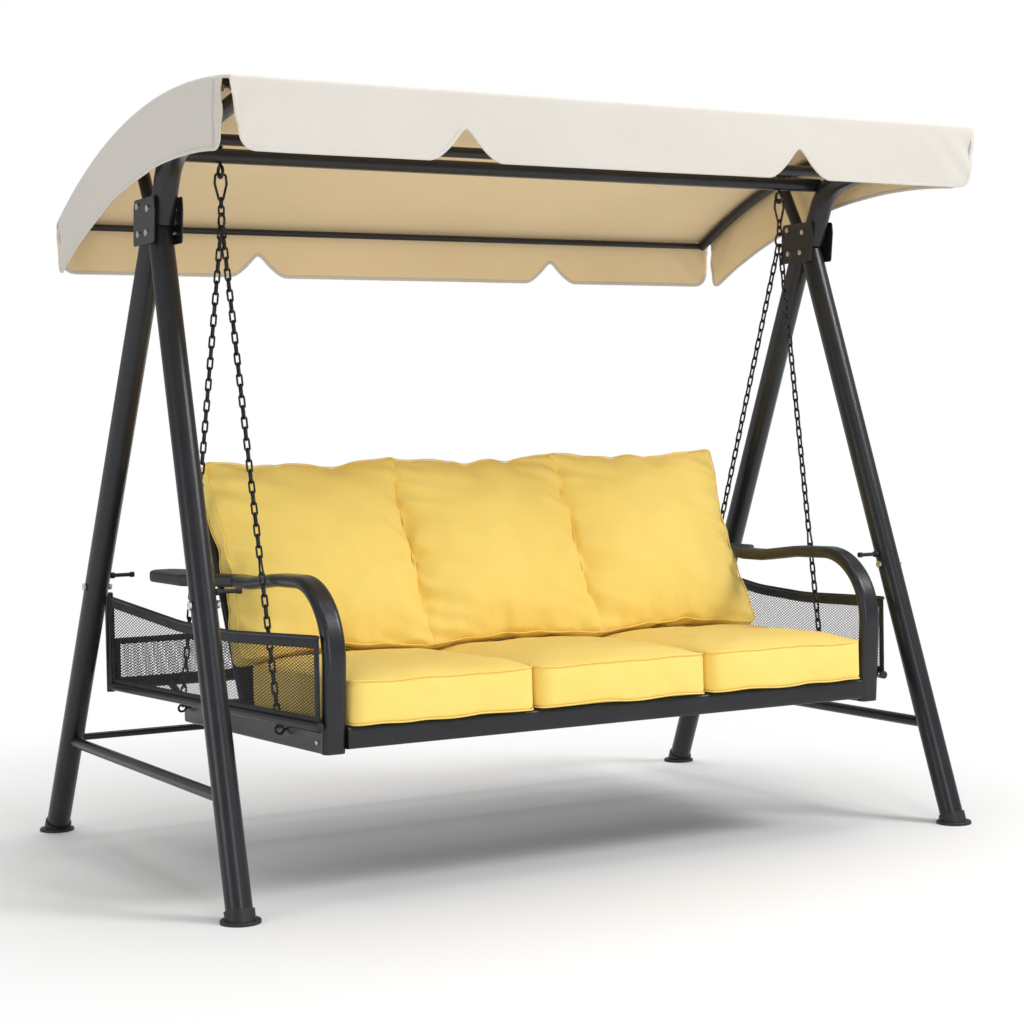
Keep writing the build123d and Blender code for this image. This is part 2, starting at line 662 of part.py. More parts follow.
def panel_rail():
    """Low rail of the side panel, closed at the front post, out to the corner post."""
    rail = tube(panel_point(0, PANEL_RAIL_Z), panel_point(1, PANEL_RAIL_Z), PANEL_RAIL_R, 1.5)
    rail += rod(panel_point(0, PANEL_RAIL_Z), panel_point(0.008, PANEL_RAIL_Z), PANEL_RAIL_R - 0.5)
    post = Pos(CORNER_X, CORNER_Y, PANEL_RAIL_Z) * Cylinder(POST_R + CLEAR / 2, 100)
    rail -= rod((0, CORNER_Y, PANEL_RAIL_Z), (CORNER_X, CORNER_Y, PANEL_RAIL_Z), PANEL_RAIL_R + CLEAR)
    rail -= post
    rail = rail & block((0, PANEL_FRONT_Y + 1, 0), (2000, CORNER_Y, 1000))
    return max(rail.solids(), key=lambda solid: solid.volume)


def panel_rod():
    """Thin wavy rod inside the side panel's top hem."""
    points = [panel_point(share, z) for share, z in zip(PANEL_ROD_AT, PANEL_ROD_ZS)]
    path = FilletPolyline(*points, radius=[260, 260])
    piece = bent(path, Circle(PANEL_ROD_R))
    post = Pos(CORNER_X, CORNER_Y, PANEL_RAIL_Z) * Cylinder(POST_R + CLEAR / 2, 700)
    return (piece - post) & block((0, PANEL_FRONT_Y + 1, 0), (2000, CORNER_Y, 1000))


def panel_plane(share=0.0):
    """Plane of the side panel: its X runs back along the panel, its Y runs up."""
    run = Vector(*panel_point(1, 0)) - Vector(*panel_point(0, 0))
    return Plane(origin=panel_point(share, 0), x_dir=run, z_dir=run.cross(Vector(0, 0, 1)))


def side_mesh():
    """Woven side panel between the low rail, the top rod and the corner post."""
    length = (Vector(*panel_point(1, 0)) - Vector(*panel_point(0, 0))).length
    low = PANEL_RAIL_Z + PANEL_RAIL_R + 0.6
    tops = [(length * share, z - PANEL_ROD_R - 1.5) for share, z in zip(PANEL_ROD_AT, PANEL_ROD_ZS)]
    tops[0] = (3.0, tops[0][1])
    tops[-1] = (length - 12.0, tops[-1][1] - 1.0)
    outline = Polyline((3.0, low), *tops, (length - 12.0, low), close=True)
    return extrude(panel_plane() * make_face(outline), amount=MESH_T / 2, both=True)


def corner_post():
    post = rod((CORNER_X, CORNER_Y, POST_LOW_Z), (CORNER_X, CORNER_Y, POST_TOP_Z), POST_R)
    return fillet(post.edges().group_by(Axis.Z)[-1], 5)


def rear_panel_rail():
    half = CORNER_X
    rail = tube((-half, CORNER_Y, PANEL_RAIL_Z), (half, CORNER_Y, PANEL_RAIL_Z), PANEL_RAIL_R, 1.5)
    return coped_to_posts(rail)


def rear_panel_rod():
    ends = [(x, CORNER_Y, REAR_PANEL_TOP_Z) for x in (-CORNER_X, CORNER_X)]
    return coped_to_posts(rod(*ends, PANEL_ROD_R))


def coped_to_posts(piece):
    for side in SIDES.values():
        piece -= Pos(side * CORNER_X, CORNER_Y, PANEL_RAIL_Z) * Cylinder(POST_R + CLEAR / 2, 700)
    return max(piece.solids(), key=lambda solid: solid.volume)


def rear_mesh():
    """Woven rear panel between the corner posts."""
    half = CORNER_X - POST_R - 1
    low = PANEL_RAIL_Z + PANEL_RAIL_R + 0.6
    top = REAR_PANEL_TOP_Z - PANEL_ROD_R - 0.6
    return block((-half, CORNER_Y - MESH_T / 2, low), (half, CORNER_Y + MESH_T / 2, top))


def rear_tie():
    """Tube from the end of the side rail back to the rear panel's low rail."""
    tie = tube((SEAT_RAIL_X, 290, 344), (SEAT_RAIL_X, CORNER_Y, 402), 9, 1.5)
    return (tie & block((0, SIDE_RAIL_REAR[0] + 0.8, 0), (2000, CORNER_Y, 1000))) - rod(
        (0, CORNER_Y, PANEL_RAIL_Z), (1000, CORNER_Y, PANEL_RAIL_Z), PANEL_RAIL_R + CLEAR / 2)


def back_base():
    half = SEAT_RAIL_X - SIDE_RAIL_W / 2 - CLEAR
    z = round_tube_z(BACK_BASE_Y, BACK_TUBE_R)
    return (half, BACK_BASE_Y, z)


def back_frame():
    """Reclined hoop of tube behind the back cushions."""
    _, y, z = back_base()
    w = BACK_HALF_W
    path = FilletPolyline((-w, y, z), (-w, *BACK_TOP), (w, *BACK_TOP), (w, y, z), radius=70)
    hoop = bent(path, ring(BACK_TUBE_R, 1.5))
    half = SEAT_RAIL_X
    return hoop - rod((-half, y, z), (half, y, z), BACK_TUBE_R + CLEAR / 2)


def back_base_rail():
    half, y, z = back_base()
    return tube((-half, y, z), (half, y, z), BACK_TUBE_R, 1.5)


def back_mesh():
    """Woven back stretched inside the hoop."""
    _, y, z = back_base()
    slope = Vector(0, BACK_TOP[0] - y, BACK_TOP[1] - z)
    plane = Plane(origin=(0, y, z), x_dir=(1, 0, 0), z_dir=Vector(1, 0, 0).cross(slope))
    low, high = BACK_TUBE_R + 1, slope.length - BACK_TUBE_R - 1
    half = BACK_HALF_W - BACK_TUBE_R - 1
    outline = Polyline((-half, low), (-half, high), (half, high), (half, low), close=True)
    face = make_face(outline)
    face = fillet(face.vertices().group_by(Axis.Y)[-1], 62)
    return extrude(plane * face, amount=MESH_T / 2, both=True)


def back_stay():
    """Upright behind the hoop, standing on the rear rail."""
    _, y, z = back_base()
    w = BACK_HALF_W
    meet = along((y, z), BACK_TOP, 0.82)
    foot_z = round_tube_z(REAR_RAIL_Y, REAR_RAIL_R)
    stay = tube((w, REAR_RAIL_Y, foot_z), (w, *meet), 9, 1.5)
    stay -= rod((w, y, z), (w, *BACK_TOP), BACK_TUBE_R + CLEAR / 2)
    stay -= rod((0, REAR_RAIL_Y, foot_z), (1000, REAR_RAIL_Y, foot_z), REAR_RAIL_R + CLEAR / 2)
    return max(stay.solids(), key=lambda solid: solid.volume)


def seat_deck():
    """Woven sheet under the cushions, laid on the slats and parallel to the side rails."""
    y_front, y_rear = SEAT_FRONT_Y + FRONT_RAIL_W / 2 + 1, BACK_BASE_Y - BACK_TUBE_R - 2
    half = SEAT_RAIL_X - SIDE_RAIL_W / 2 - 6
    lift = SIDE_RAIL_H / 2 - 1 + 1.2
    start, end = (0, y_front, rail_axis_z(y_front) + lift), (0, y_rear, rail_axis_z(y_rear) + lift)
    return straight(start, end, Rectangle(2 * half, MESH_T))


# --- cushions ---------------------------------------------------------------------------------------
def seat_pad(x):
    """Plain box cushion lying on the deck, parallel to it."""
    rise = rail_axis_z(1) - rail_axis_z(0)
    tilt = math.degrees(math.atan(rise))
    y_front = SEAT_FRONT_Y - FRONT_RAIL_W / 2 - 21
    middle_y = y_front + SEAT_PAD_D / 2
    low_z = FRONT_RAIL_Z + FRONT_RAIL_H / 2 + 1.5
    pad = Box(SEAT_PAD_W, SEAT_PAD_D, SEAT_PAD_H)
    pad = fillet(pad.edges(), 20)
    drop = rise * (middle_y - SEAT_FRONT_Y)
    return Pos(x, middle_y, low_z + drop + SEAT_PAD_H / 2) * Rot(tilt, 0, 0) * pad


def back_pad(x):
    """Plain loose cushion leaning on the back."""
    outline = Polyline((-140, 524), (74, 519), (266, 902), (206, 970), (112, 952), close=True)
    face = fillet(make_face(outline).vertices(), 34)
    plane = Plane(origin=(x, 0, 0), x_dir=(0, 1, 0), z_dir=(1, 0, 0))
    pad = extrude(plane * face, amount=BACK_PAD_W / 2, both=True)
    return pad


# --- everything written out -------------------------------------------------------------------------
def both_sides(*shapes):
    """Right-hand pieces with their mirror images."""
    return [on_side(shape, side) for side in SIDES.values() for shape in shapes]


def write_stand():
    feet = {"front": FOOT_FRONT_Y, "rear": FOOT_REAR_Y}
    for name, side in SIDES.items():
        for place, foot_y in feet.items():
            save(f"leg_{place}_{name}", on_side(leg(foot_y), side))
        save(f"canopy_arm_{name}", on_side(canopy_arm(), side))
    inner_x = FRAME_TOP_X - PLATE_GAP / 2 - PLATE_T
    outer_x = FRAME_TOP_X + PLATE_GAP / 2
    save("foot_caps", *both_sides(*[foot_cap(foot_y) for foot_y in feet.values()]))
    save("apex_brackets", *both_sides(bracket_plate(inner_x), bracket_plate(outer_x)))
    save("side_stretchers", *both_sides(side_stretcher()))
    save("canopy_arm_tips", *both_sides(canopy_arm_tip()))
    save("rear_struts", *both_sides(rear_strut()))
    save("canopy_side_rails", *both_sides(side_rail()))
    save("hanger_eyes", *both_sides(hanger_eye()))
    save("arm_bushings", *both_sides(arm_bushing()))
    save("bracket_bolts", *both_sides(*bracket_bolts()))
    save("leg_bolts", *both_sides(*leg_bolts()))
    save("rail_bolts", *both_sides(*rail_bolts()))
    save("bumper_rods", *both_sides(*bumper_rods()))
    save("rear_cross_bar", rear_cross_bar())
    save("main_beam", main_beam())
    save("canopy_end_bars", end_bar(FRONT_BAR_Y), end_bar(REAR_BAR_Y))
    save("canopy_mid_bar", mid_bar())


def write_canopy():
    save("canopy_top", canopy_top())
    front_top = arc_z(CLOTH_FRONT_Y, CLOTH_T) - CLEAR
    save("valance_front", scalloped(front_top, FRONT_DROP_Z, CLOTH_X, NOTCH_X, 90, 1718,
                                    CLOTH_FRONT_Y, CLOTH_FRONT_Y + CLOTH_T))
    rear_top = arc_z(CLOTH_REAR_Y, CLOTH_T) - CLEAR
    save("valance_rear", scalloped(rear_top, REAR_DROP_Z, CLOTH_X, NOTCH_X, 78, 1532,
                                   CLOTH_REAR_Y - CLOTH_T, CLOTH_REAR_Y))
    for name, side in SIDES.items():
        save(f"valance_{name}", on_side(side_valance(), side))


def write_swing():
    for name, side in SIDES.items():
        links = [*chain(LUG_FRONT_Y), *chain(LUG_REAR_Y)]
        save(f"chains_{name}", *[on_side(link, side) for link in links])
        save(f"arm_{name}", on_side(arm(), side))
        save(f"arm_pad_{name}", on_side(arm_pad(), side))
        save(f"side_mesh_{name}", on_side(side_mesh(), side))
    save("seat_side_rails", *both_sides(seat_side_rail()))
    save("hanger_links", *both_sides(top_link(), *joining_links()[0], junction_ring()))
    save("chain_lugs", *both_sides(chain_lug(LUG_FRONT_Y), chain_lug(LUG_REAR_Y)))
    save("rivets", *both_sides(*rivets()))
    save("post_plugs", *both_sides(post_plug()))
    save("arm_pad_supports", *both_sides(pad_support()))
    save("panel_rails", *both_sides(panel_rail()), rear_panel_rail())
    save("panel_rods", *both_sides(panel_rod()), rear_panel_rod())
    save("corner_posts", *both_sides(corner_post()))
    save("rear_ties", *both_sides(rear_tie()))
    save("back_stays", *both_sides(back_stay()))
    save("seat_front_rail", front_rail())
    save("seat_rear_rail", round_cross_tube(REAR_RAIL_Y, REAR_RAIL_R))
    save("seat_slats", *[round_cross_tube(y, 10) for y in SLAT_YS])
    save("seat_deck", seat_deck())
    save("rear_mesh", rear_mesh())
    save("back_frame", back_frame())
    save("back_base_rail", back_base_rail())
    save("back_mesh", back_mesh())


def write_cushions():
    for place, x, back_x in zip(("left", "middle", "right"), SEAT_PAD_XS, BACK_PAD_XS):
        save(f"seat_cushion_{place}", seat_pad(x))
        save(f"back_cushion_{place}", back_pad(back_x))


os.makedirs("parts", exist_ok=True)
write_stand()
write_canopy()
write_swing()
write_cushions()
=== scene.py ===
import json
import math

import bmesh
import bpy
from mathutils import Matrix, Vector, noise


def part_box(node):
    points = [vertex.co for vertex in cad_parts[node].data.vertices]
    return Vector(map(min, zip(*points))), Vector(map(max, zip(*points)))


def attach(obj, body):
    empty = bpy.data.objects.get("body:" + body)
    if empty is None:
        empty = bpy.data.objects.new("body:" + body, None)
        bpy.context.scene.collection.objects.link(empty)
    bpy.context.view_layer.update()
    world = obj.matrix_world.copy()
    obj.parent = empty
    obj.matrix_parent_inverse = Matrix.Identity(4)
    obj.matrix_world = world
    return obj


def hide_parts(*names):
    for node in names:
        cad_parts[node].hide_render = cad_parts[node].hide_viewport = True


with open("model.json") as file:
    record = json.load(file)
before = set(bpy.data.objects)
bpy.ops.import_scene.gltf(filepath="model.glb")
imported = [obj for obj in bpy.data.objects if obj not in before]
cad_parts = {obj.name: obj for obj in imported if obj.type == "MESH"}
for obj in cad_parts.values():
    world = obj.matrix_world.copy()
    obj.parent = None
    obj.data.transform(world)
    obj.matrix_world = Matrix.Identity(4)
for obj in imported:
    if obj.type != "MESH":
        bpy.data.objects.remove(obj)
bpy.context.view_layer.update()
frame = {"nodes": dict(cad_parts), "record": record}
nodes = frame["nodes"]

# Canopy swing bench, in metres. +Z is up and the front of the bench faces -Y.

# --- camera -----------------------------------------------------------------------------------------
CAMERA_AT = Vector((-2.722, -4.876, 1.057))
CAMERA_YAW = math.radians(29.54)        # to the right of +Y
CAMERA_PITCH = math.radians(-2.30)
CAMERA_ROLL = math.radians(-1.03)
CAMERA_LENS = 74.97                     # on a 36 mm wide sensor

# --- canopy cloth -----------------------------------------------------------------------------------
ARCH_R = 1.920                          # radius of the arched top
CREST_Y = -0.410
FOLD_R = 0.009                          # where the top turns down into a valance
CLOTH_T = 0.0016
ROOF_SAG = 0.007
NOTCH_X = 0.458                         # middle of each notch in the front and rear valances
NOTCH_W = {"front": 0.092, "rear": 0.084}
NOTCH_H = {"front": 0.086, "rear": 0.070}
CORNER_R = 0.046                        # rounded lower corners of the valances
SIDE_INSET = {"front": 0.044, "rear": 0.016}    # side valances start this far inside the end folds
SIDE_DROP = 0.160                       # from the arch down to a side valance's lower edge
ARCH_STRETCH = 1.03                     # length along the arch for each metre across it
# How much narrower a valance is at its foot, at its first end and at its last.
TAPER = {"front": (0.015, 0.015), "rear": (0.005, 0.005), "side": (0.010, 0.005)}
HEM_W = 0.009
HEM_T = 0.0017

# --- cushions ---------------------------------------------------------------------------------------
SEAT_TILT = math.radians(-1.48)         # the deck falls towards the rear
PILLOW_W = 0.540                        # cut size of a back cushion's cover, before it's filled
PILLOW_L = 0.525
PILLOW_GUSSET = 0.070
PILLOW_THICK = 0.185                    # filled
PILLOW_SLACK = 0.34                     # how far the filled cover pulls in and puckers
PILLOW_FOOT = Vector((0, -0.074, 0.496))        # middle of a pillow's lower and upper edge
PILLOW_HEAD = Vector((0, 0.150, 0.970))
PILLOW_XS = {"left": -0.504, "middle": -0.006, "right": 0.492}
PILLOW_SWELL = 0.058                    # how far each panel domes before it's fitted to its size
PILLOW_PUCKER = 0.052                   # height of the folds at the seams
SEAT_BASE = 0.015                       # taken off a seat cushion's CAD height to get its cut height
SEAT_SLACK = 0.20
SEAT_SWELL = 0.022
SEAT_RISE = 0.034                       # added to the filled height; the crown ends 16 mm above the block
PIPING_R = 0.0019

# --- woven panels -----------------------------------------------------------------------------------
CELL_W = 0.0160                         # a diamond of the weave
CELL_H = 0.0074
HOLE = 0.79                             # share of a diamond's width that is open
YARN_T = 0.0007
BAND = 0.024                            # hem along the top rod
SIDE_BAND = 0.015
TOP_ROD = ((0.0, 0.600), (0.38, 0.586), (0.62, 0.592), (1.0, 0.632))     # share of the length, height

# --- studio -------------------------------------------------------------------------------------------
FLOOR_FADE = (1.1, 2.7)                 # the floor turns into background between these distances
WORLD_LIGHT = 0.46
LIGHTS = (                              # name, place, aim, size and power in watts
    ("key", (3.3, -3.7, 4.9), (0, 0, 0.6), (1.8, 1.8), 185),
    ("strip", (-0.9, -5.2, 1.7), (-0.6, 0, 1.0), (0.5, 3.0), 48),
    ("side", (-5.2, -1.2, 1.5), (-0.8, -0.1, 0.5), (1.6, 1.6), 30),
    ("top", (0.2, 0.2, 5.0), (0, 0, 0), (4.0, 4.0), 160),
)


# --- materials --------------------------------------------------------------------------------------
class Nodes:
    """A material's node tree with its Principled shader, and short ways to add to it."""

    def __init__(self, name):
        self.material = bpy.data.materials.new(name)
        self.material.use_nodes = True
        self.tree = self.material.node_tree
        self.shader = self.tree.nodes["Principled BSDF"]
        self.place = self.add("ShaderNodeTexCoord").outputs["Object"]

    def add(self, kind, **settings):
        node = self.tree.nodes.new(kind)
        for key, value in settings.items():
            setattr(node, key, value)
        return node

    def join(self, source, target):
        self.tree.links.new(source, target)

    def set(self, **values):
        for key, value in values.items():
            self.shader.inputs[key.replace("_", " ")].default_value = value

    def noise(self, scale, detail=3.0, rough=0.55):
        node = self.add("ShaderNodeTexNoise")
        node.inputs["Scale"].default_value = scale
        node.inputs["Detail"].default_value = detail
        node.inputs["Roughness"].default_value = rough
        self.join(self.place, node.inputs["Vector"])
        return node.outputs["Fac"]

    def wave(self, axis, pitch):
        """A rounded ridge every pitch metres along an axis."""
        node = self.add("ShaderNodeTexWave", wave_type="BANDS", bands_direction=axis)
        node.inputs["Scale"].default_value = math.tau / 20 / pitch
        self.join(self.place, node.inputs["Vector"])
        return node.outputs["Fac"]

    def ramp(self, source, low, high, dark, light):
        node = self.add("ShaderNodeValToRGB")
        node.color_ramp.elements[0].position = low
        node.color_ramp.elements[1].position = high
        node.color_ramp.elements[0].color = (*dark, 1)
        node.color_ramp.elements[1].color = (*light, 1)
        self.join(source, node.inputs["Fac"])
        return node.outputs["Color"]

    def range(self, source, low, high):
        node = self.add("ShaderNodeMapRange")
        node.inputs["To Min"].default_value = low
        node.inputs["To Max"].default_value = high
        self.join(source, node.inputs["Value"])
        return node.outputs["Result"]

    def math(self, operation, first, second):
        node = self.add("ShaderNodeMath", operation=operation)
        for socket, value in zip(node.inputs, (first, second)):
            if isinstance(value, (int, float)):
                socket.default_value = value
            else:
                self.join(value, socket)
        return node.outputs[0]

    def bump(self, height, depth, before=None):
        node = self.add("ShaderNodeBump")
        node.inputs["Distance"].default_value = depth
        self.join(height, node.inputs["Height"])
        if before is not None:
            self.join(before, node.inputs["Normal"])
        self.join(node.outputs["Normal"], self.shader.inputs["Normal"])
        return node.outputs["Normal"]


def weave(kit, pitch):
    """Height of a plain weave that runs along all three axes, so that it shows on every face."""
    across = kit.math("MAXIMUM", kit.wave("X", pitch), kit.wave("Z", pitch))
    return kit.math("MULTIPLY", across, kit.wave("Y", pitch))


def powder_coat():
    """Charcoal powder coat: satin, with a fine orange peel and faintly uneven gloss."""
    kit = Nodes("powder_coat")
    kit.join(kit.ramp(kit.noise(9.0), 0.3, 0.7, (0.011, 0.012, 0.015), (0.017, 0.018, 0.022)),
             kit.shader.inputs["Base Color"])
    kit.join(kit.range(kit.noise(22.0), 0.27, 0.35), kit.shader.inputs["Roughness"])
    kit.bump(kit.noise(900.0, 2.0), 0.00010)
    kit.set(Specular_IOR_Level=0.40)
    return kit.material


def moulded_plastic():
    kit = Nodes("moulded_plastic")
    kit.join(kit.ramp(kit.noise(30.0), 0.3, 0.7, (0.010, 0.010, 0.012), (0.016, 0.016, 0.018)),
             kit.shader.inputs["Base Color"])
    kit.join(kit.range(kit.noise(60.0), 0.42, 0.58), kit.shader.inputs["Roughness"])
    kit.bump(kit.noise(1500.0, 2.0), 0.00010)
    return kit.material


def zinc_steel():
    kit = Nodes("zinc_steel")
    kit.join(kit.ramp(kit.noise(120.0), 0.3, 0.7, (0.50, 0.50, 0.49), (0.72, 0.71, 0.69)),
             kit.shader.inputs["Base Color"])
    kit.join(kit.range(kit.noise(240.0), 0.28, 0.45), kit.shader.inputs["Roughness"])
    kit.set(Metallic=1.0)
    return kit.material


def chain_finish():
    """Blackened steel links, brighter where they rub."""
    kit = Nodes("chain_finish")
    kit.join(kit.ramp(kit.noise(140.0, 4.0), 0.42, 0.72, (0.018, 0.018, 0.019), (0.075, 0.073, 0.070)),
             kit.shader.inputs["Base Color"])
    kit.join(kit.range(kit.noise(300.0), 0.28, 0.5), kit.shader.inputs["Roughness"])
    kit.set(Metallic=0.75)
    return kit.material


def sling_cloth():
    """Charcoal coated yarn in a tight weave."""
    kit = Nodes("sling_cloth")
    kit.join(kit.ramp(kit.noise(60.0), 0.3, 0.7, (0.014, 0.015, 0.018), (0.026, 0.028, 0.032)),
             kit.shader.inputs["Base Color"])
    kit.bump(weave(kit, 0.0022), 0.0003)
    kit.set(Roughness=0.55, Specular_IOR_Level=0.3)
    return kit.material


def canopy_cloth(name, dark, light):
    """Plain woven polyester with a slub and soft uneven tone."""
    kit = Nodes(name)
    kit.join(kit.ramp(kit.noise(2.2, 4.0), 0.3, 0.7, dark, light), kit.shader.inputs["Base Color"])
    slub = kit.bump(kit.noise(45.0, 4.0), 0.0007)
    kit.bump(weave(kit, 0.0014), 0.00008, slub)
    kit.set(Roughness=0.85, Sheen_Weight=0.12, Sheen_Roughness=0.5, Specular_IOR_Level=0.25)
    return kit.material


def cushion_cloth():
    """Yellow woven cushion cover with faint creasing and a soft nap."""
    kit = Nodes("cushion_cloth")
    kit.join(kit.ramp(kit.noise(5.0, 4.0), 0.28, 0.72, (0.930, 0.685, 0.170), (0.960, 0.735, 0.210)),
             kit.shader.inputs["Base Color"])
    crease = kit.bump(kit.noise(34.0, 5.0, 0.6), 0.0012)
    kit.bump(weave(kit, 0.0014), 0.00008, crease)
    kit.set(Roughness=0.82, Sheen_Weight=0.08, Sheen_Roughness=0.45, Specular_IOR_Level=0.2)
    return kit.material


def studio_floor():
    """White floor that glows more and more with distance, so that it meets the white background unseen."""
    kit = Nodes("studio_floor")
    kit.join(kit.ramp(kit.noise(0.6), 0.3, 0.7, (0.88, 0.88, 0.88), (0.90, 0.90, 0.90)),
             kit.shader.inputs["Base Color"])
    kit.set(Roughness=0.7, Specular_IOR_Level=0.1)
    distance = kit.add("ShaderNodeVectorMath", operation="LENGTH")
    kit.join(kit.place, distance.inputs[0])
    share = kit.add("ShaderNodeMapRange", interpolation_type="SMOOTHSTEP")
    share.inputs["From Min"].default_value, share.inputs["From Max"].default_value = FLOOR_FADE
    kit.join(distance.outputs["Value"], share.inputs["Value"])
    glow = kit.add("ShaderNodeEmission")
    mix = kit.add("ShaderNodeMixShader")
    kit.join(share.outputs["Result"], mix.inputs[0])
    kit.join(kit.shader.outputs[0], mix.inputs[1])
    kit.join(glow.outputs[0], mix.inputs[2])
    kit.join(mix.outputs[0], kit.tree.nodes["Material Output"].inputs["Surface"])
    return kit.material


FINISHES = {
    "frame": powder_coat(),
    "black_plastic": moulded_plastic(),
    "bolt_steel": zinc_steel(),
    "chain_steel": chain_finish(),
    "mesh": sling_cloth(),
    "canopy_cloth": canopy_cloth("canopy_cloth", (0.605, 0.572, 0.52), (0.645, 0.612, 0.56)),
    "cushion_cloth": cushion_cloth(),
}
# Painted light: the inside faces of the same canopy cloth get a warmer tan tone that stands in for light
# shining through the cloth. There is no separate lining.
CANOPY_UNDERSIDE_PAINTED_LIGHT = canopy_cloth("canopy_underside_painted_light", (0.81, 0.65, 0.40), (0.86, 0.69, 0.43))


def finish_cad_nodes():
    """Every carried-over piece gets its slot's procedural material."""
    for part in frame["record"]["subparts"]:
        node = nodes[part["node"]]
        node.data.materials.clear()
        node.data.materials.append(FINISHES[part["material_slot"]])


# --- mesh helpers -----------------------------------------------------------------------------------
def new_object(name, points, faces, *materials, smooth=True):
    mesh = bpy.data.meshes.new(name)
    mesh.from_pydata([tuple(p) for p in points], [], faces)
    for material in materials:
        mesh.materials.append(material)
    mesh.polygons.foreach_set("use_smooth", [smooth] * len(mesh.polygons))
    mesh.update()
    piece = bpy.data.objects.new(name, mesh)
    bpy.context.scene.collection.objects.link(piece)
    return piece


def outward(piece):
    """Turn every face of a closed mesh to the outside."""
    work = bmesh.new()
    work.from_mesh(piece.data)
    bmesh.ops.recalc_face_normals(work, faces=work.faces)
    work.to_mesh(piece.data)
    work.free()


def settle_modifiers(piece):
    """Replace a piece's mesh by what its modifiers make of it."""
    bpy.context.view_layer.update()
    depsgraph = bpy.context.evaluated_depsgraph_get()
    mesh = bpy.data.meshes.new_from_object(piece.evaluated_get(depsgraph), depsgraph=depsgraph)
    piece.modifiers.clear()
    piece.data = mesh


def spread(low, high, step):
    count = max(1, round((high - low) / step))
    return [low + (high - low) * k / count for k in range(count + 1)]


def thread(points, radius, closed, sides=8):
    """Corners and faces of a round thread along a line of points."""
    count = len(points)
    rings = []
    side = None
    for k, point in enumerate(points):
        after = points[(k + 1) % count] if closed or k < count - 1 else point
        before = points[k - 1] if closed or k > 0 else point
        run = (after - before).normalized()
        if side is None:
            side = run.orthogonal().normalized()
        side = (side - run * side.dot(run)).normalized()
        other = run.cross(side)
        rings.append([point + (side * math.cos(a) + other * math.sin(a)) * radius
                      for a in (math.tau * s / sides for s in range(sides))])
    corners = [corner for ring in rings for corner in ring]
    faces = []
    for k in range(count if closed else count - 1):
        low, high = k * sides, (k + 1) % count * sides
        for s in range(sides):
            t = (s + 1) % sides
            faces.append((low + s, low + t, high + t, high + s))
    if not closed:
        faces.append(tuple(range(sides))[::-1])
        faces.append(tuple((count - 1) * sides + s for s in range(sides)))
    return corners, faces


def threads(name, lines, radius, material, closed=True):
    """One piece made of several round threads."""
    corners, faces = [], []
    for line in lines:
        more, sides = thread(line, radius, closed)
        faces += [tuple(len(corners) + i for i in face) for face in sides]
        corners += more
    piece = new_object(name, corners, faces, material)
    outward(piece)
    return piece


def smooth_loop(points, rounds=2):
    for _ in range(rounds):
        points = [(points[k - 1] + points[k] * 2 + points[(k + 1) % len(points)]) / 4
                  for k in range(len(points))]
    return points


# --- canopy -----------------------------------------------------------------------------------------
def fold(distance):
    """How far a sheet has dropped where it turns down over an edge, at a distance from that edge."""
    if distance >= FOLD_R:
        return 0.0
    return FOLD_R - math.sqrt(max(FOLD_R ** 2 - (FOLD_R - distance) ** 2, 0.0))


def corner_rise(distance):
    """How far a valance's lower edge has risen at a distance from its end."""
    if distance >= CORNER_R:
        return 0.0
    return CORNER_R - math.sqrt(max(CORNER_R ** 2 - (CORNER_R - distance) ** 2, 0.0))


def notch_rise(x, place):
    distance = math.hypot(abs(abs(x) - NOTCH_X), 0.009)
    share = max(0.0, 1 - distance / NOTCH_W[place])
    return NOTCH_H[place] * share ** 1.7


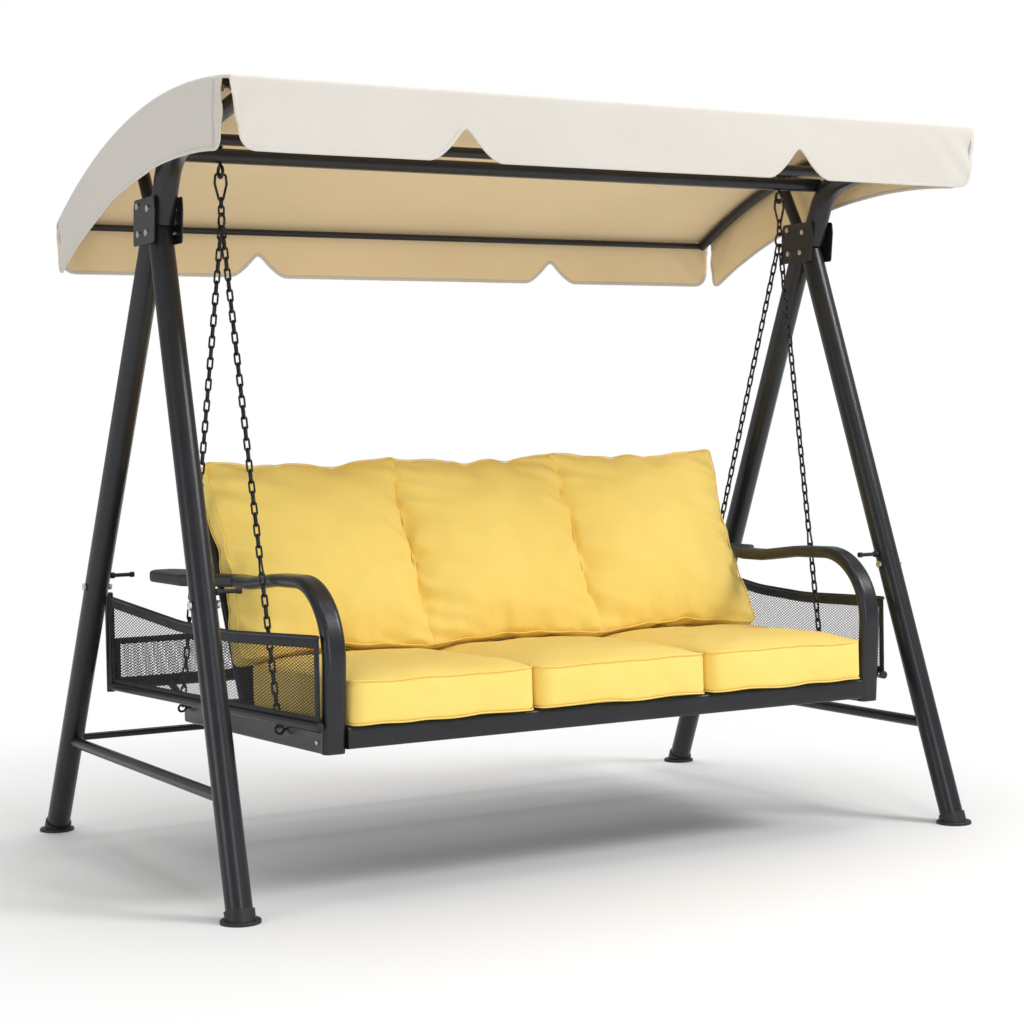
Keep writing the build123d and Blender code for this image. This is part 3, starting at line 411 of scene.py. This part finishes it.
class Canopy:
    """The one cloth of the canopy: an arched top whose four edges turn down into valances."""

    def __init__(self):
        low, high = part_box("canopy_top")
        self.half = high.x - 0.001
        self.front, self.rear, self.crest = low.y + 0.001, high.y - 0.001, high.z
        self.low = {place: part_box(f"valance_{place}")[0].z for place in ("front", "rear")}
        self.bm = bmesh.new()
        self.hems = []
        self.flat_area = 0.0

    def arch_z(self, y):
        return self.crest - ARCH_R + math.sqrt(ARCH_R ** 2 - (y - CREST_Y) ** 2)

    def roof_z(self, x, y):
        sag = ROOF_SAG * (1 - (x / self.half) ** 2) * min(1.0, (y - self.front) * 4, (self.rear - y) * 4)
        ripple = 0.003 * noise.noise(Vector((x * 1.7, y * 2.3, 4.0)))
        edge = min(y - self.front, self.rear - y)
        height = self.arch_z(y) - max(sag, 0.0) + ripple * min(1.0, edge * 6)
        return height - fold(self.half - abs(x)) - fold(edge)

    def stations(self):
        fine = [FOLD_R * f for f in (0.0, 0.12, 0.35, 0.65, 1.0)]
        ends = [CORNER_R * f for f in (0.32, 0.5, 0.72, 1.0)]
        xs = set()
        for side in (-1, 1):
            xs.update(side * (self.half - f) for f in fine + ends)
            xs.update(side * NOTCH_X + d for d in spread(-0.096, 0.096, 0.0048))
        inner = self.half - CORNER_R
        xs.update(x for x in spread(-inner, inner, 0.017) if abs(abs(x) - NOTCH_X) > 0.1)
        ys = {self.front + f for f in fine} | {self.rear - f for f in fine}
        ys |= {self.front + SIDE_INSET["front"] + f for f in [0.0, CORNER_R * 0.12] + ends}
        ys |= {self.rear - SIDE_INSET["rear"] - f for f in [0.0, CORNER_R * 0.12] + ends}
        ys |= set(spread(self.front + 0.09, self.rear - 0.08, 0.022))
        return sorted(xs), sorted(ys)

    def valance(self, edge, along, low_z, away, seed, taper, rows=12):
        """A flap hung from an edge of the top. along is each point's place on it; away points outward."""
        ends = (along[0], along[-1])
        run = Vector((0, 1, 0)) if away.x else Vector((1, 0, 0))
        middle = (ends[0] + ends[1]) / 2
        columns = []
        for vert, u, low in zip(edge, along, low_z):
            column = [vert]
            from_end = min(u - ends[0], ends[1] - u)
            for row in range(1, rows + 1):
                share = row / rows
                z = vert.co.z + (low - vert.co.z) * share
                down = vert.co.z - z
                wave = noise.noise(Vector((u * 4.2, share * 0.8, seed)))
                fine = noise.noise(Vector((u * 13.0, share * 2.0, seed + 9)))
                pull = math.sin((from_end + down * 0.9) * math.tau / 0.085) * math.exp(-from_end / 0.11)
                out = share * (0.0055 * wave + 0.0014 * fine) + math.sin(share * math.pi) * 0.0036 * pull
                inward = math.copysign(taper[u > middle] * share * math.exp(-from_end / 0.06), middle - u)
                point = vert.co + away * (out + 0.002 * share) + run * inward
                point.z = z
                column.append(self.bm.verts.new(point))
            columns.append(column)
        for left, right in zip(columns, columns[1:]):
            for row in range(rows):
                self.bm.faces.new((left[row], right[row], right[row + 1], left[row + 1]))
        path = columns[0][2:] + [column[-1] for column in columns[1:-1]] + columns[-1][:1:-1]
        self.hems.append(([vert.co.copy() for vert in path], away))
        drops = [(u, vert.co.z - low) for u, low, vert in zip(along, low_z, edge)]
        for (u, drop), (v, drop_next) in zip(drops, drops[1:]):
            self.flat_area += abs(v - u) * (drop + drop_next) / 2

    def build(self):
        xs, ys = self.stations()
        grid = [[self.bm.verts.new((x, y, self.roof_z(x, y))) for x in xs] for y in ys]
        for near, far in zip(grid, grid[1:]):
            for k in range(len(xs) - 1):
                self.bm.faces.new((near[k], near[k + 1], far[k + 1], far[k]))
        self.flat_area += 2 * self.half * (self.rear - self.front) * ARCH_STRETCH
        for place, row, out, seed in (("front", grid[0], -1, 2.0), ("rear", grid[-1], 1, 7.0)):
            low = [self.low[place] + notch_rise(x, place) + corner_rise(self.half - abs(x)) for x in xs]
            self.valance(row, xs, low, Vector((0, out, 0)), seed, TAPER[place])
        start, end = self.front + SIDE_INSET["front"], self.rear - SIDE_INSET["rear"]
        chosen = [k for k, y in enumerate(ys) if start - 1e-6 <= y <= end + 1e-6]
        for side, column in ((-1, 0), (1, -1)):
            edge = [grid[k][column] for k in chosen]
            along = [ys[k] for k in chosen]
            low = [self.arch_z(y) - SIDE_DROP + corner_rise(min(y - start, end - y)) * 0.85
                   for y in along]
            self.valance(edge, along, low, Vector((side, 0, 0)), 12.0 + side, TAPER["side"])
        mesh = bpy.data.meshes.new("canopy_cover")
        bmesh.ops.recalc_face_normals(self.bm, faces=self.bm.faces)
        if sum(face.normal.z for face in self.bm.faces) < 0:
            bmesh.ops.reverse_faces(self.bm, faces=self.bm.faces)
        self.bm.to_mesh(mesh)
        self.bm.free()
        mesh.materials.append(FINISHES["canopy_cloth"])
        mesh.materials.append(CANOPY_UNDERSIDE_PAINTED_LIGHT)
        mesh.polygons.foreach_set("use_smooth", [True] * len(mesh.polygons))
        piece = bpy.data.objects.new("canopy_cover", mesh)
        bpy.context.scene.collection.objects.link(piece)
        thick = piece.modifiers.new("thickness", "SOLIDIFY")
        thick.thickness = CLOTH_T
        thick.offset = -1
        # The inner faces of the thickened sheet take the second slot, the tan painted-light copy of the
        # canopy cloth.
        thick.material_offset = 1
        settle_modifiers(piece)
        return piece


def hem_frames(path, away):
    """For each point of a hem's path: the point, and the direction into the cloth."""
    middle = sum(path, Vector()) / len(path)
    frames = []
    for k, point in enumerate(path):
        run = (path[min(k + 1, len(path) - 1)] - path[max(k - 1, 0)]).normalized()
        inward = away.cross(run).normalized()
        frames.append((point, inward))
    flips = sum((middle - point).dot(inward) for point, inward in frames)
    return [(point, inward if flips > 0 else -inward) for point, inward in frames]


def hem(paths):
    """Folded strip sewn round the free edges of the valances."""
    section = [(-0.0006, 0.6), (0.0004, 1.0), (HEM_W - 0.0008, 1.0), (HEM_W, 0.55),
               (HEM_W, -0.55), (HEM_W - 0.0008, -1.0), (0.0004, -1.0), (-0.0006, -0.6)]
    corners, faces = [], []
    sides = len(section)
    for path, away in paths:
        base = len(corners)
        frames = hem_frames(path, away)
        for point, inward in frames:
            centre = point - away * CLOTH_T / 2
            corners += [centre + inward * reach + away * HEM_T * out for reach, out in section]
        for k in range(len(frames) - 1):
            for s in range(sides):
                t = (s + 1) % sides
                low = base + k * sides
                faces.append((low + s, low + t, low + sides + t, low + sides + s))
        faces.append(tuple(base + s for s in range(sides))[::-1])
        faces.append(tuple(base + (len(frames) - 1) * sides + s for s in range(sides)))
    piece = new_object("canopy_hem", corners, faces, FINISHES["canopy_cloth"])
    outward(piece)
    return piece


def walk(line, step):
    """Points and directions every step along a line of points."""
    found = []
    left = step / 2
    for start, end in zip(line, line[1:]):
        length = (end - start).length
        while left < length:
            found.append((start.lerp(end, left / length), (end - start).normalized()))
            left += step
        left -= length
    return found


def hem_stitches(paths):
    """Short raised stitches along the inner edge of the hem, on the outside."""
    corners, faces = [], []
    half, width, lift = 0.0019, 0.0005, 0.0005
    for path, away in paths:
        line = [point + inward * (HEM_W - 0.002) + away * (HEM_T - CLOTH_T / 2)
                for point, inward in hem_frames(path, away)]
        for point, run in walk(line, 0.006):
            across = away.cross(run).normalized()
            base = len(corners)
            corners += [point - run * half, point + across * width, point + run * half,
                        point - across * width, point + away * lift]
            faces += [(base + k, base + (k + 1) % 4, base + 4) for k in range(4)]
            faces.append((base + 3, base + 2, base + 1, base))
    piece = new_object("canopy_stitches", corners, faces, FINISHES["canopy_cloth"])
    outward(piece)
    return piece


def make_canopy():
    canopy = Canopy()
    cover = canopy.build()
    trim = [hem(canopy.hems), hem_stitches(canopy.hems)]
    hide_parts("canopy_top", "valance_front", "valance_rear", "valance_left", "valance_right")
    for piece in (cover, *trim):
        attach(piece, "stand")
    width = 2 * (canopy.half + SIDE_DROP)
    length = (canopy.rear - canopy.front) * ARCH_STRETCH + 0.33
    min(canopy.flat_area, width * length)


# --- cushions ---------------------------------------------------------------------------------------
class Cover:
    """The skin of a box cushion as a grid: two panels and the gusset between their two seams."""

    def __init__(self, width, length, gusset, corner_r, step=0.0088):
        self.size = (width, length, gusset)
        self.corner_r = corner_r
        self.xs = spread(-width / 2, width / 2, step)
        self.ys = spread(-length / 2, length / 2, step)
        self.points, self.faces = [], []
        top = self.panel(gusset / 2, 1)
        low = self.panel(-gusset / 2, -1)
        self.seams = [self.rim(top), self.rim(low)]
        self.gusset(*self.seams, max(2, round(gusset / step)))

    def rounded(self, x, y):
        """A square corner drawn in to a round one."""
        width, length, _ = self.size
        reach_x = abs(x) - (width / 2 - self.corner_r)
        reach_y = abs(y) - (length / 2 - self.corner_r)
        if reach_x <= 0 or reach_y <= 0:
            return x, y
        share = max(reach_x, reach_y) / math.hypot(reach_x, reach_y)
        new_x = width / 2 - self.corner_r + reach_x * share
        new_y = length / 2 - self.corner_r + reach_y * share
        return math.copysign(new_x, x), math.copysign(new_y, y)

    def panel(self, z, up):
        columns = len(self.xs)
        base = len(self.points)
        for y in self.ys:
            for x in self.xs:
                self.points.append(Vector((*self.rounded(x, y), z)))
        for j in range(len(self.ys) - 1):
            for i in range(columns - 1):
                a = base + j * columns + i
                face = (a, a + 1, a + 1 + columns, a + columns)
                self.faces.append(face if up > 0 else face[::-1])
        return base

    def rim(self, base):
        """A panel's edge points in order, anticlockwise from above."""
        columns, rows = len(self.xs), len(self.ys)
        lower = [base + i for i in range(columns)]
        right = [base + j * columns + columns - 1 for j in range(1, rows)]
        upper = [base + (rows - 1) * columns + i for i in range(columns - 2, -1, -1)]
        left = [base + j * columns for j in range(rows - 2, 0, -1)]
        return lower + right + upper + left

    def gusset(self, top, low, rows):
        count = len(top)
        rings = [top]
        for row in range(1, rows):
            start = len(self.points)
            for a, b in zip(top, low):
                self.points.append(self.points[a].lerp(self.points[b], row / rows))
            rings.append(list(range(start, start + count)))
        rings.append(low)
        for upper, lower in zip(rings, rings[1:]):
            for k in range(count):
                n = (k + 1) % count
                self.faces.append((upper[k], lower[k], lower[n], upper[n]))


def simulate_filling(piece, pressure, frames, bending):
    """Blow a cushion's cover up with cloth physics and keep the result as its mesh."""
    cloth = piece.modifiers.new("filling", "CLOTH")
    settings = cloth.settings
    settings.quality = 5
    settings.mass = 0.25
    settings.tension_stiffness = 30
    settings.compression_stiffness = 12
    settings.shear_stiffness = 8
    settings.bending_stiffness = bending
    settings.air_damping = 3
    settings.use_pressure = True
    settings.uniform_pressure_force = pressure
    settings.effector_weights.gravity = 0
    cloth.point_cache.frame_start = 1
    cloth.point_cache.frame_end = frames
    scene = bpy.context.scene
    for step in range(1, frames + 1):
        scene.frame_set(step)
    settle_modifiers(piece)
    scene.frame_set(1)


def fit_to(points, size):
    """Scale points about their middle so that their box has the given size."""
    low = Vector([min(p[k] for p in points) for k in range(3)])
    high = Vector([max(p[k] for p in points) for k in range(3)])
    middle, span = (low + high) / 2, high - low
    return [Vector([(p[k] - middle[k]) * size[k] / span[k] for k in range(3)]) for p in points]


def crease(point, seed, depth, pitch):
    """A soft dent or swelling of a cover."""
    return depth * noise.noise(Vector((point.x / pitch, point.y / pitch, point.z / pitch + seed)))


def dress(name, cover, points, place, seam_depth):
    """The finished cushion and its piping from the cover's settled points, put in place."""
    cushion = new_object(name, points, cover.faces, FINISHES["cushion_cloth"])
    normals = [vertex.normal.copy() for vertex in cushion.data.vertices]
    seams = [[points[i] + normals[i] * 0.0004 for i in loop] for loop in cover.seams]
    for loop in cover.seams:
        for i in loop:
            cushion.data.vertices[i].co -= normals[i] * seam_depth
    smooth = cushion.modifiers.new("rounding", "SUBSURF")
    smooth.levels = 1
    smooth.render_levels = 1
    settle_modifiers(cushion)
    piping = threads(f"{name}_piping", [smooth_loop(seam) for seam in seams], PIPING_R,
                     FINISHES["cushion_cloth"])
    for piece in (cushion, piping):
        piece.data.transform(place)
        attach(piece, "swing")
    return cushion


def crowned(point, size, swell, power):
    """Even swelling of a cover's two panels; a higher power keeps it full nearer to the seams."""
    width, length, thick = size
    dome = max(0.0, 1 - (2 * point.x / width) ** power) * max(0.0, 1 - (2 * point.y / length) ** power)
    return Vector((point.x, point.y, point.z * (1 + 2 * swell * dome / thick)))


def puckered(point, size, seed, depth):
    """Long shallow folds that run in from the side seams and die out."""
    from_side = size[0] / 2 - abs(point.x)
    from_end = size[1] / 2 - abs(point.y)
    side = noise.noise(Vector((point.x * 5, point.y * 27 + point.x * 9, seed)))
    side *= math.exp(-from_side / 0.075)
    end = noise.noise(Vector((point.x * 24, point.y * 5, seed + 3))) * math.exp(-from_end / 0.04)
    fade = min(1.0, from_side / 0.012, from_end / 0.012)
    return Vector((0, 0, math.copysign(depth, point.z) * (side + 0.6 * end) * max(fade, 0.0)))


def filled(cover, seed, dent, swell, power, pucker, slack, size, pressure, frames, bending):
    """A cover's points once it is filled: an even swelling, drawn part of the way to the simulated one."""
    start = [point + Vector((0, 0, crease(point, seed, *dent))) for point in cover.points]
    domed = [crowned(a, cover.size, swell, power) + puckered(b, cover.size, seed, pucker)
             for a, b in zip(start, cover.points)]
    even = fit_to(domed, size)
    piece = new_object("filling", start, cover.faces)
    simulate_filling(piece, pressure, frames, bending)
    blown = fit_to([vertex.co.copy() for vertex in piece.data.vertices], size)
    bpy.data.objects.remove(piece)
    return [a.lerp(b, slack) for a, b in zip(even, blown)]


def seat_cushion(place, seed):
    """Box cushion: crowned top, bulging gusset, flat underneath."""
    low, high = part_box(f"seat_cushion_{place}")
    width, length, height = high.x - low.x, high.y - low.y, high.z - low.z - SEAT_BASE
    cover = Cover(width - 0.012, length - 0.012, height - 0.018, 0.042)
    size = (width - 0.002, length - 0.004, height + SEAT_RISE + 0.012)
    points = filled(cover, seed, (0.004, 0.09), SEAT_SWELL, 6, 0.0, SEAT_SLACK, size, 4.0, 16, 0.8)
    floor_z = -height / 2
    for point in points:
        point.z = max(point.z - 0.006, floor_z) if point.z < 0 else point.z
    turn = Matrix.Rotation(SEAT_TILT, 4, "X")
    centre = Vector(((low.x + high.x) / 2, (low.y + high.y) / 2, (low.z + high.z) / 2))
    cushion = dress(f"seat_pad_{place}", cover, points, Matrix.Translation(centre) @ turn, 0.0022)
    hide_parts(f"seat_cushion_{place}")


def back_cushion(place, seed):
    """Loose square pillow that leans back, with pointed corners where its panels meet the gusset."""
    cover = Cover(PILLOW_W, PILLOW_L, PILLOW_GUSSET, 0.012)
    lean = PILLOW_HEAD - PILLOW_FOOT
    size = (PILLOW_W - 0.008, lean.length, PILLOW_THICK)
    points = filled(cover, seed, (0.007, 0.08), PILLOW_SWELL, 4, PILLOW_PUCKER, PILLOW_SLACK, size,
                    7.0, 24, 0.25)
    centre = (PILLOW_HEAD + PILLOW_FOOT) / 2 + Vector((PILLOW_XS[place], 0, 0))
    lean.normalize()
    face = Vector((0, -lean.z, lean.y))
    turn = Matrix(((1, 0, 0, 0), (0, lean.y, face.y, 0), (0, lean.z, face.z, 0), (0, 0, 0, 1)))
    cushion = dress(f"back_pillow_{place}", cover, points, Matrix.Translation(centre) @ turn, 0.0016)
    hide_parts(f"back_cushion_{place}")


# --- woven panels -----------------------------------------------------------------------------------
def lattice(name, origin, run, length, low, top_at, top_band):
    """A woven panel of diamond openings. top_at gives the upper edge at a distance along the panel."""
    columns = int(length / CELL_W * 2) + 2
    rows = int(0.30 / CELL_H * 2)
    index, corners, faces = {}, [], []

    def corner(i, j):
        if (i, j) not in index:
            index[i, j] = len(corners)
            corners.append((i * CELL_W / 2, low + j * CELL_H / 2))
        return index[i, j]

    for i in range(1, columns):
        for j in range(1, rows):
            if (i + j) % 2:
                continue
            u, z = i * CELL_W / 2, low + j * CELL_H / 2
            if u > length - CELL_W / 2 or z > top_at(u) - top_band / 2:
                continue
            rim = [corner(i - 1, j), corner(i, j - 1), corner(i + 1, j), corner(i, j + 1)]
            base = len(corners)
            corners += [(u + dx * HOLE * CELL_W / 2, z + dz * HOLE * CELL_H / 2)
                        for dx, dz in ((-1, 0), (0, -1), (1, 0), (0, 1))]
            faces += [(rim[k], rim[(k + 1) % 4], base + (k + 1) % 4, base + k) for k in range(4)]
    points = [origin + run * u + Vector((0, 0, z)) for u, z in corners]
    panel = new_object(name, points, faces, FINISHES["mesh"], smooth=False)
    thick = panel.modifiers.new("thickness", "SOLIDIFY")
    thick.thickness = YARN_T
    thick.offset = 0
    settle_modifiers(panel)
    area = len(faces) / 4 * CELL_W * CELL_H / 2 * (1 - HOLE ** 2)
    return panel, area


def band(name, origin, run, stretches):
    """Folded hem strips: each is a run of (distance, low, high) stations on the panel."""
    across = run.cross(Vector((0, 0, 1)))
    corners, faces = [], []
    half = 0.0022
    section = ((0, -0.6), (0.12, -1), (0.88, -1), (1, -0.6), (1, 0.6), (0.88, 1), (0.12, 1), (0, 0.6))
    for stations in stretches:
        base = len(corners)
        for u, low, high in stations:
            for share, out in section:
                z = low + (high - low) * share
                corners.append(origin + run * u + Vector((0, 0, z)) + across * half * out)
        count = len(section)
        for k in range(len(stations) - 1):
            for s in range(count):
                t = (s + 1) % count
                a = base + k * count
                faces.append((a + s, a + t, a + count + t, a + count + s))
        last = base + (len(stations) - 1) * count
        faces.append(tuple(base + s for s in range(count))[::-1])
        faces.append(tuple(last + s for s in range(count)))
    piece = new_object(name, corners, faces, FINISHES["mesh"])
    outward(piece)
    return piece


def woven_panel(name, node, origin, run, length, low, top_at, top_band=BAND):
    panel, area = lattice(name, origin, run, length, low, top_at, top_band)
    stations = spread(0.0, length, 0.012)
    top = [(u, top_at(u) - top_band, top_at(u) + 0.005) for u in stations]
    foot = [(u, low - 0.001, low + SIDE_BAND * 0.7) for u in stations]
    ends = [[(u, low, top_at(u)) for u in (start, start + SIDE_BAND * 0.5, start + SIDE_BAND)]
            for start in (0.0, length - SIDE_BAND)]
    hems = band(f"{name}_hem", origin, run, [top, foot, *ends])
    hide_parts(node)
    for piece in (panel, hems):
        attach(piece, "swing")
    flat = (length, max(top_at(u) for u in stations) - low)
    # The side panels are more open than that, so theirs is that floor and not their own area.
    max(area, 0.31 * flat[0] * flat[1])


def side_panel(side, place):
    low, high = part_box(f"side_mesh_{place}")
    front = Vector((side * min(abs(low.x), abs(high.x)), low.y, 0))
    rear = Vector((side * max(abs(low.x), abs(high.x)), high.y, 0))
    length = (rear - front).length

    def rod_at(share):
        for (near, low_z), (far, high_z) in zip(TOP_ROD, TOP_ROD[1:]):
            if share <= far:
                return low_z + (high_z - low_z) * (share - near) / (far - near)
        return TOP_ROD[-1][1]

    def top_at(u):
        """The hem follows its rod, with soft turns."""
        share = min(max(u / length, 0.0), 1.0)
        near = [rod_at(min(max(share + step, 0.0), 1.0)) for step in (-0.03, -0.015, 0.0, 0.015, 0.03)]
        return sum(near) / len(near)

    run = (rear - front).normalized()
    woven_panel(f"side_weave_{place}", f"side_mesh_{place}", front, run, length, low.z, top_at)


def rear_panel():
    low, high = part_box("rear_mesh")
    start = Vector((low.x, (low.y + high.y) / 2, 0))
    woven_panel("rear_weave", "rear_mesh", start, Vector((1, 0, 0)), high.x - low.x, low.z,
                lambda u: high.z, 0.008)


# --- studio -----------------------------------------------------------------------------------------
def make_camera():
    forward = Vector((math.sin(CAMERA_YAW), math.cos(CAMERA_YAW), 0)) * math.cos(CAMERA_PITCH)
    forward.z = math.sin(CAMERA_PITCH)
    level = Vector((math.cos(CAMERA_YAW), -math.sin(CAMERA_YAW), 0))
    upright = level.cross(forward)
    right = level * math.cos(CAMERA_ROLL) + upright * math.sin(CAMERA_ROLL)
    up = upright * math.cos(CAMERA_ROLL) - level * math.sin(CAMERA_ROLL)
    camera = bpy.data.objects.new("camera", bpy.data.cameras.new("camera"))
    camera.data.lens = CAMERA_LENS
    camera.data.sensor_width = 36
    turn = Matrix((right, up, -forward)).transposed().to_4x4()
    camera.matrix_world = Matrix.Translation(CAMERA_AT) @ turn
    bpy.context.scene.collection.objects.link(camera)
    bpy.context.scene.camera = camera


def area_light(name, at, aim, size, power):
    light = bpy.data.lights.new(name, "AREA")
    light.shape = "RECTANGLE"
    light.size, light.size_y = size
    light.energy = power
    lamp = bpy.data.objects.new(name, light)
    lamp.location = at
    lamp.rotation_euler = (Vector(aim) - Vector(at)).to_track_quat("-Z", "Y").to_euler()
    bpy.context.scene.collection.objects.link(lamp)


def make_studio():
    floor = new_object("floor", [(-30, -30, 0), (30, -30, 0), (30, 30, 0), (-30, 30, 0)], [(0, 1, 2, 3)],
                       studio_floor())
    world = bpy.data.worlds.new("studio")
    world.use_nodes = True
    sky = world.node_tree.nodes["Background"]
    sky.inputs["Color"].default_value = (1.0, 1.0, 1.0, 1)
    seen = world.node_tree.nodes.new("ShaderNodeLightPath").outputs["Is Camera Ray"]
    strength = world.node_tree.nodes.new("ShaderNodeMapRange")
    strength.inputs["To Min"].default_value = WORLD_LIGHT
    strength.inputs["To Max"].default_value = 1.0
    world.node_tree.links.new(seen, strength.inputs["Value"])
    world.node_tree.links.new(strength.outputs["Result"], sky.inputs["Strength"])
    bpy.context.scene.world = world
    for light in LIGHTS:
        area_light(*light)
    bpy.context.scene.view_settings.view_transform = "Standard"
    bpy.context.scene.view_settings.look = "None"


make_camera()
make_studio()
finish_cad_nodes()
make_canopy()
for seed, place in enumerate(("left", "middle", "right")):
    seat_cushion(place, 3.1 + 5 * seed)
    back_cushion(place, 1.7 + 7 * seed)
side_panel(-1, "left")
side_panel(1, "right")
rear_panel()
